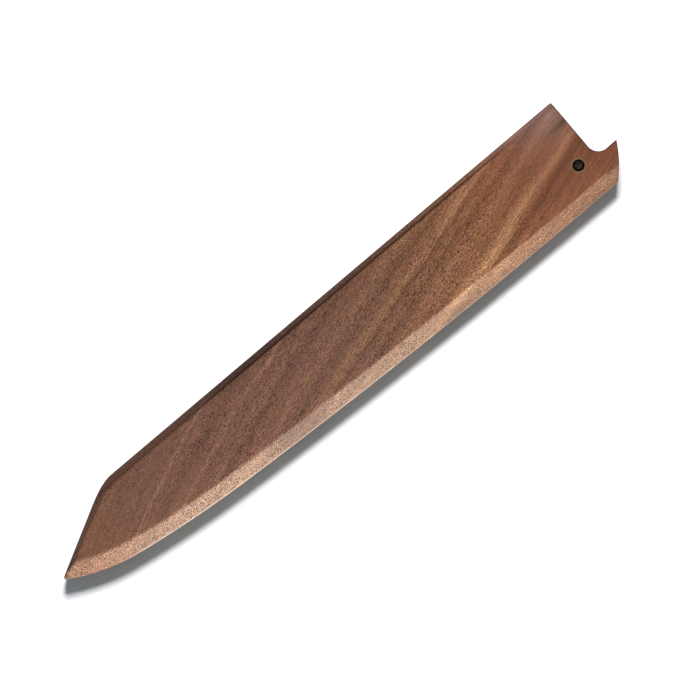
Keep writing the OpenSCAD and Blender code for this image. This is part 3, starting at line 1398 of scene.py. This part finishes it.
def carved(body: bpy.types.Object, cutters: Sequence[bpy.types.Object]) -> None:
    """Cuts solids out of a body and leaves it as a plain closed mesh.

    Args:
        body: the solid that is cut.
        cutters: the solids that are taken out of it and then deleted.
    """
    for cutter in cutters:
        cut = body.modifiers.new(cutter.name, "BOOLEAN")
        cut.operation = "DIFFERENCE"
        cut.solver = "EXACT"
        cut.object = cutter
    graph = bpy.context.evaluated_depsgraph_get()
    result = bpy.data.meshes.new_from_object(body.evaluated_get(graph))
    body.modifiers.clear()
    old, body.data = body.data, result
    bpy.data.meshes.remove(old)
    result.name = body.name
    for cutter in cutters:
        mesh = cutter.data
        bpy.data.objects.remove(cutter)
        bpy.data.meshes.remove(mesh)


def shaded(piece: bpy.types.Object, sharp_degrees: float) -> None:
    """Smooth shading with sharp edges above an angle."""
    piece.data.shade_smooth()
    piece.data.set_sharp_from_angle(angle=math.radians(sharp_degrees))


def dressed(piece: bpy.types.Object, material: bpy.types.Material, body: str, node: str) -> None:
    """Finishes a piece and tells the frame what it is.

    Args:
        piece: the piece.
        material: its material.
        body: the body that it rides on.
        node: the CAD node that it stands for.
    """
    piece.data.materials.clear()
    piece.data.materials.append(material)
    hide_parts(node)
    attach(piece, body)


# The guard


class Side(Enum):
    """Which of the two glued boards."""

    FRONT = "front"
    BACK = "back"


@dataclass
class Board:
    """One hollowed walnut board of the guard.

    Both boards are built face up. The back one is then mirrored downwards.
    """

    side: Side
    plan: GuardPlan = field(default_factory=GuardPlan)
    # The half pocket's depth, and the radius where its walls meet its roof
    slot_half: float = 2.2
    roof_radius: float = 0.5
    # The peg's hole: its bore, its flared rim and the rim's rolled border
    hole_radius: float = 2.3
    rim_radius: float = 2.6
    rim_depth: float = 0.7
    rim_roll: float = 0.1
    # The shoulder under the peg, and the hole through it with its flared exit
    shoulder: float = 1.2
    push_hole_radius: float = 1.6
    exit_flare: float = 0.25
    # How far a cutter reaches past the wood that it cuts
    overlap: float = 1.0

    @property
    def name(self) -> str:
        """Name of the CAD node that this board stands for."""
        return f"{self.side.value}_half"

    @staticmethod
    def depths() -> np.ndarray:
        """Chooses where the side wall has its rings of points.

        Returns:
            Depths below the face, close together where the wall curves.
        """
        return np.array([
            0.0, 0.003, 0.012, 0.027, 0.048, 0.075, 0.11, 0.15, 0.2, 0.26, 0.33, 0.42, 0.55, 0.8, 1.2,
            1.7, 2.15, 2.33, 2.45, 2.55, 2.65, 2.75, 2.87, 3.1, 3.6, 4.1, 4.3, 4.42, 4.52, 4.62, 4.72,
            4.84, 5.2, 6.0, 6.6, 6.86, 7.0,
        ])

    def build(self) -> bpy.types.Object:
        """Makes the board with its pocket, its part of the peg's hole and soft edges.

        Returns:
            The finished board, in its place and without a material.
        """
        plan = self.plan
        top = 2 * plan.board_thickness
        rings = [at_height(plan.to_xy(plan.outline(float(h))), top - h) for h in self.depths()]
        body = stacked(self.name, np.array(rings))
        carved(body, [self._pocket_cutter(), *self._hole_cutters()])
        if self.side is Side.BACK:
            mirror = Matrix.Scale(-1, 4, (0, 0, 1))
            body.data.transform(Matrix.Translation((0, 0, top * MM)) @ mirror)
            body.data.flip_normals()
        self._tidy(body)
        self._mark(body)
        shaded(body, sharp_degrees=32.0)
        return body

    def _pocket_cutter(self) -> bpy.types.Object:
        """Makes the half pocket as a solid, with a small radius under its roof.

        Returns:
            The cutter.
        """
        plan, radius = self.plan, self.roof_radius
        seam = plan.board_thickness
        roof = seam + self.slot_half
        angles = np.linspace(0.0, math.pi / 2, 5)
        grows = [0.0, *(radius * np.cos(angles) - radius)]
        heights = [seam - self.overlap, *(roof - radius + radius * np.sin(angles))]
        rings = [at_height(plan.to_xy(plan.pocket(grow)), z) for grow, z in zip(grows, heights)]
        return stacked("pocket_cut", np.array(rings[::-1]))

    def _hole_cutters(self) -> list[bpy.types.Object]:
        """Makes this board's part of the peg's hole as solids.

        The front's rim flares straight and rolls over by the sixth power of the
        way up. The back has a blind bore, and a push-out hole whose exit flares
        by the square of the way up.

        Returns:
            The cutters.
        """
        seam, top = self.plan.board_thickness, 2 * self.plan.board_thickness
        centre = self.plan.peg_centre
        bottom = seam - self.overlap
        # Above the face a cutter goes on flaring, which cuts no wood
        spread = 0.2
        if self.side is Side.FRONT:
            flare = np.linspace(0.0, 1.0, 7)
            widening = self.rim_radius - self.hole_radius
            rim_r = self.hole_radius + widening * flare + self.rim_roll * flare**6
            rim_z = top - self.rim_depth * (1 - flare)
            above = top + 0.4
            rim = [*zip(rim_r, rim_z), (rim_r[-1] + spread, above), (0, above)]
            profile = [(0, bottom), (self.hole_radius, bottom), *rim]
            return [turned("hole_cut", np.array(profile, float), centre)]
        stop = top - self.shoulder
        bore = [(0, bottom), (self.hole_radius, bottom), (self.hole_radius, stop), (0, stop)]
        flare = np.linspace(0.0, 1.0, 4)
        exit_r = self.push_hole_radius + self.exit_flare * flare**2
        exit_z = top - self.exit_flare * (1 - flare)
        above = top + 0.3
        way_out = [*zip(exit_r, exit_z), (exit_r[-1] + spread, above), (0, above)]
        push = [(0, stop - self.overlap), (self.push_hole_radius, stop - self.overlap), *way_out]
        return [
            turned("bore_cut", np.array(bore, float), centre),
            turned("push_cut", np.array(push, float), centre),
        ]

    @staticmethod
    def _tidy(body: bpy.types.Object) -> None:
        """Merges doubles left by the cuts and turns the faces outwards.

        Args:
            body: the board, whose mesh is changed and whose open edges are reported.
        """
        # Both in metres
        double, sliver = 2e-7, 1e-7
        work = bmesh.new()
        work.from_mesh(body.data)
        bmesh.ops.remove_doubles(work, verts=work.verts, dist=double)
        bmesh.ops.dissolve_degenerate(work, dist=sliver, edges=work.edges)
        bmesh.ops.recalc_face_normals(work, faces=work.faces)
        open_edges = sum(not e.is_manifold for e in work.edges)
        work.to_mesh(body.data)
        work.free()
        LOG.info("%s: %d faces, %d open edges", body.name, len(body.data.polygons), open_edges)

    def _mark(self, body: bpy.types.Object) -> None:
        """Writes the marks "worn", "planed" and "end_grain" at each point.

        worn, a painted highlight, is 4 t (1 - t) over the depth of the
        bevel's foot, less towards the mouth and none in the point. planed is 1 on
        the edge bevel, between the face and the side wall. end_grain is
        1.6 times the square of the normal's part along the grain, for darker end
        grain, at most 1, and at least 0.8 on the softened border of the mouth,
        notch and horn, where it is painted shade.

        Args:
            body: the board in its place.
        """
        plan = self.plan
        count = len(body.data.vertices)
        flat = np.zeros(count * 3)
        body.data.vertices.foreach_get("co", flat)
        x, y, z = (flat.reshape(-1, 3) / MM).T
        depth = 2 * plan.board_thickness - z if self.side is Side.FRONT else z
        d, down = plan.mouth_x - x, plan.spine_y - y
        from_edge = plan.edge_down(np.minimum(d, plan.body_length)) - down
        normals = np.zeros(count * 3)
        body.data.vertex_normals.foreach_get("vector", normals)
        normal_x, normal_y = normals.reshape(-1, 3)[:, :2].T
        # The bevel is near the edge line, ends 3 mm out on the horn and doesn't face the spine
        on_edge = (from_edge < plan.bevel_at(d) + 1.2) & (d > -3.0) & (normal_y < 0.1)
        foot_depth = plan.edge_fall.depth
        slope = ramp(depth, 0.0, 0.5) * (1 - ramp(depth, foot_depth + 0.3, foot_depth + 0.6))
        foot = ramp(depth, foot_depth - 0.45, foot_depth + 0.45)
        ahead = 0.2 + 0.4 * eased(d, 60.0, 150.0) + 0.4 * eased(d, 150.0, 200.0)
        ahead = ahead * (1 - eased(d, 253.0, 268.0))
        # Painted shade on the softened border of the mouth, notch and horn
        rim = ramp(depth, 0.0, 0.03) * (1 - ramp(depth, 0.5, 0.9)) * (d < 0.9)
        marks = {
            "worn": np.where(on_edge, 4 * foot * (1 - foot) * ahead, 0.0),
            "planed": np.where(on_edge, slope, 0.0),
            "end_grain": np.maximum(np.clip(1.6 * normal_x**2, 0.0, 1.0), 0.8 * rim),
        }
        for name, values in marks.items():
            layer = body.data.attributes.new(name, "FLOAT", "POINT")
            layer.data.foreach_set("value", values.astype(np.float32))


@dataclass
class LockingPeg:
    """Turned peg behind the heel of the blade.

    foot and top are the heights of its ends, dome is how high its head is
    crowned and tail the radius of its rounded tail.
    """

    plan: GuardPlan = field(default_factory=GuardPlan)
    radius: float = 2.25
    foot: float = 1.2
    top: float = 13.9
    dome: float = 0.7
    tail: float = 0.5

    def build(self) -> bpy.types.Object:
        """Makes the peg: a rounded tail, a straight shank and a low dome.

        The dome is part of a ball of radius (radius^2 + dome^2) / (2 dome).

        Returns:
            The finished peg, in its place and without a material.
        """
        a = np.linspace(0.0, math.pi / 2, 7)
        tail_r = self.radius - self.tail + self.tail * np.sin(a)
        tail_z = self.foot + self.tail - self.tail * np.cos(a)
        ball = (self.radius**2 + self.dome**2) / (2 * self.dome)
        reach = math.asin(self.radius / ball)
        # The dome starts just inside the shank, so that its border is softened
        lean = np.linspace(reach * 0.985, 0.0, 16)
        dome_r, dome_z = ball * np.sin(lean), self.top - ball * (1 - np.cos(lean))
        border_z = self.top - self.dome
        shank_z = np.linspace(tail_z[-1] + 0.4, border_z - 0.12, 12)
        profile = [
            (0.0, self.foot),
            *zip(tail_r, tail_z),
            *[(self.radius, float(z)) for z in shank_z],
            (self.radius - 0.012, border_z - 0.04),
            *zip(dome_r[:-1], dome_z[:-1]),
            (0.0, self.top),
        ]
        peg = turned("locking_peg", np.array(profile, float), self.plan.peg_centre)
        shaded(peg, sharp_degrees=60.0)
        return peg


# The studio


@dataclass
class Studio:
    """Pale floor, soft lamps and the camera above the guard.

    up is the direction on the floor that points up in the picture. Two lamps
    stand over that side, at an angle of lamp_height above the floor.
    """

    aim: tuple[float, float, float] = (5.92, -3.0, 14.0)
    camera_height: float = 3314.0
    lens: float = 400.0
    up: tuple[float, float, float] = (0.6461, 0.7633, 0.0)
    lamp_height: float = math.radians(51.0)
    lamp_reach: float = 2600.0
    floor_half: float = 650.0
    floor_gap: float = 0.05
    floor_colour: Colour = (0.60, 0.68, 0.71, 1.0)
    world_level: float = 0.25
    world_colour: Colour = (0.87, 0.97, 1.0, 1.0)

    def build(self, pieces: Sequence[bpy.types.Object]) -> None:
        """Makes floor, world, lamps and camera.

        Args:
            pieces: the finished pieces, which the lamps light.
        """
        floor = self._floor()
        self._world()
        level = self.lamp_reach * math.cos(self.lamp_height)
        height = self.lamp_reach * math.sin(self.lamp_height)
        above = (self.up[0] * level, self.up[1] * level, height)
        self._lamp("edge_lamp", (-260, -1120, 470), (620, 320), 21.5, pieces)
        self._lamp("spine_lamp", above, (800, 800), 10.0, pieces)
        self._lamp("floor_lamp", above, (700, 700), 134.0, [floor], (1.17, 1.0, 0.98))
        self._camera()
        settings = bpy.context.scene.view_settings
        settings.view_transform = "Standard"

    def _floor(self) -> bpy.types.Object:
        """Pale floor that keeps the guard's shadow and turns white further out.

        Returns:
            The floor.
        """
        half, z = self.floor_half, -self.floor_gap
        points = np.array([[-half, -half, z], [half, -half, z], [half, half, z], [-half, half, z]])
        floor = mesh_object("floor", points, [[0, 1, 2, 3]])
        material, g = new_material("pale_floor")
        place = g.node("ShaderNodeTexCoord", out="Object")
        away = g.node("ShaderNodeVectorMath", {"operation": "LENGTH"}, {0: place}, out="Value")
        g.surface({
            "Base Color": self.floor_colour,
            "Roughness": 1.0,
            "Specular IOR Level": 0.0,
            "Emission Color": g.mix(away.step(0.22, 0.6), (0.02, 0.02, 0.02, 1.0), (0.5, 0.5, 0.5, 1.0)),
            "Emission Strength": 1.0,
        })
        floor.data.materials.append(material)
        return floor

    def _world(self) -> None:
        """Even, slightly cool surroundings, seen as white by the camera."""
        world = bpy.data.worlds.new("studio")
        world.use_nodes = True
        bpy.context.scene.world = world
        g = Graph(world.node_tree)
        camera = g.node("ShaderNodeLightPath", out="Is Camera Ray")
        strength = camera * (1.0 - self.world_level) + self.world_level
        tint = g.mix(camera, self.world_colour, (1.0, 1.0, 1.0, 1.0))
        sky = g.node("ShaderNodeBackground", {}, {"Color": tint, "Strength": strength})
        g.node("ShaderNodeOutputWorld", {}, {"Surface": sky})

    def _lamp(
        self,
        name: str,
        place: tuple[float, float, float],
        size: tuple[float, float],
        power: float,
        lit: Sequence[bpy.types.Object],
        colour: Tint = (1.0, 1.0, 1.0),
    ) -> None:
        """Soft rectangular lamp that lights only the objects in lit.

        Args:
            name: the lamp's name.
            place: its centre in millimetres.
            size: its width and height in millimetres.
            power: its power in watts.
            lit: the objects that it lights. All objects cast its shadows.
            colour: its colour as linear light.
        """
        data = bpy.data.lights.new(name, "AREA")
        data.shape = "RECTANGLE"
        data.size, data.size_y = size[0] * MM, size[1] * MM
        data.energy, data.color = power, colour
        lamp = bpy.data.objects.new(name, data)
        bpy.context.scene.collection.objects.link(lamp)
        lamp.location = Vector(place) * MM
        lamp.rotation_euler = (-Vector(place)).to_track_quat("-Z", "Y").to_euler()
        group = bpy.data.collections.new(f"{name}_lights")
        for piece in lit:
            group.objects.link(piece)
        lamp.light_linking.receiver_collection = group

    def _camera(self) -> None:
        """Camera straight above the guard, turned as in the photograph."""
        data = bpy.data.cameras.new("camera")
        data.lens = self.lens
        data.sensor_width = 36.0
        # The nearest and the farthest that it sees, in metres
        data.clip_start, data.clip_end = 0.05, 20.0
        camera = bpy.data.objects.new("camera", data)
        bpy.context.scene.collection.objects.link(camera)
        up = Vector(self.up).normalized()
        right = up.cross(Vector((0, 0, 1)))
        turn = Matrix((right, up, Vector((0, 0, 1)))).transposed()
        place = (Vector(self.aim) + Vector((0, 0, self.camera_height))) * MM
        camera.matrix_world = Matrix.Translation(place) @ turn.to_4x4()
        bpy.context.scene.camera = camera


def main() -> None:
    """Builds the guard and the studio."""
    logging.basicConfig(level=logging.INFO, format="%(name)s: %(message)s")
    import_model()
    plan = GuardPlan()
    walnut, ebony = WalnutFinish(plan).make(), EbonyFinish(plan).make()
    pieces = []
    for side in Side:
        board = Board(side, plan)
        made = board.build()
        dressed(made, walnut, "sheath", board.name)
        pieces.append(made)
    peg = LockingPeg(plan).build()
    dressed(peg, ebony, "peg", "locking_peg")
    pieces.append(peg)
    Studio().build(pieces)
    for piece in pieces:
        LOG.info("%s: %d points, %d faces", piece.name, len(piece.data.vertices), len(piece.data.polygons))


if __name__ == "__main__":
    main()
